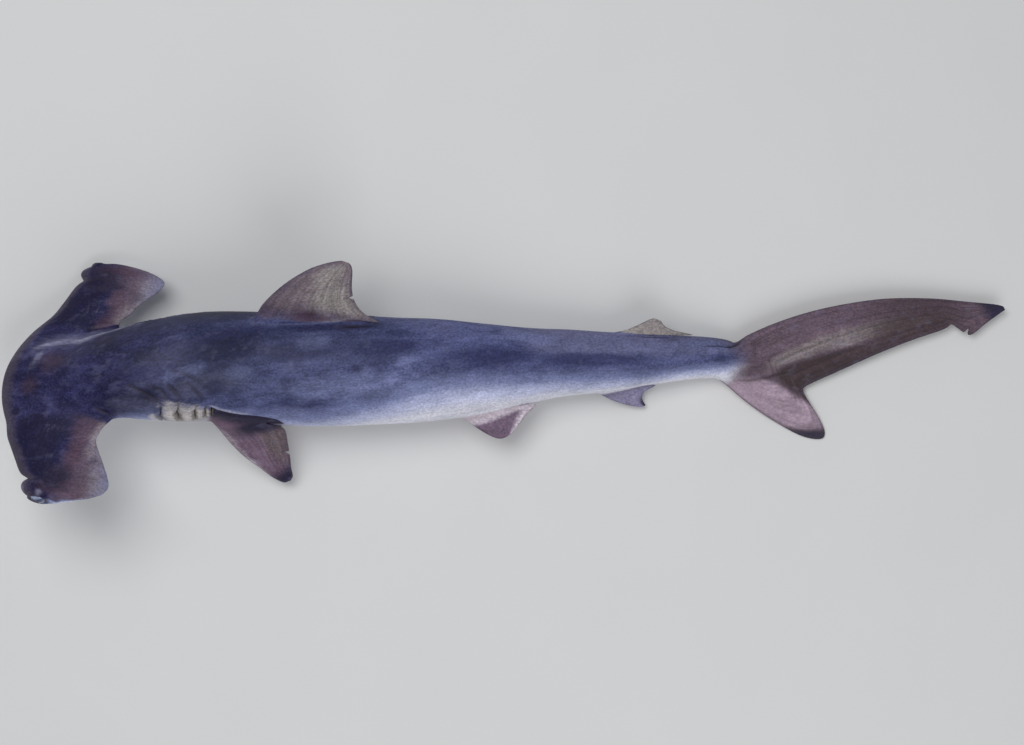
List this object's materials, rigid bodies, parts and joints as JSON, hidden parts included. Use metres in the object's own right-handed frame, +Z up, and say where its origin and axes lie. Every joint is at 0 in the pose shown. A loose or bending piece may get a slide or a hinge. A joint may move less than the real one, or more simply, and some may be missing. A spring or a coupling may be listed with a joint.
{
  "type": "smooth hammerhead shark",
  "caption": "Young smooth hammerhead shark, a still life-size model lying on its right side with its head turned belly-down.",
  "frame": {"origin": "centre of the box round the shark, at floor level", "axes": "+X from the snout to the tail, +Y to the side that the back faces, +Z up"},
  "size_m": [0.8526, 0.2022, 0.1153],
  "materials": {
    "skin": "damp, fine-grained shark skin",
    "eye": "wet, glossy"
  },
  "bodies": {
    "root": {"head_centre": "skin", "hammer_left": "skin", "hammer_right": "skin", "neck": "skin", "trunk_front": "skin", "trunk_middle": "skin", "trunk_rear": "skin", "tail_stalk": "skin", "tail_fin_lower": "skin", "tail_fin_upper": "skin", "dorsal_fin_1": "skin", "dorsal_fin_2": "skin", "anal_fin": "skin", "pelvic_fin_left": "skin", "pelvic_fin_right": "skin", "pectoral_fin_left": "skin", "pectoral_fin_right": "skin", "eye_left": "eye", "eye_right": "eye"}
  },
  "joints": []
}
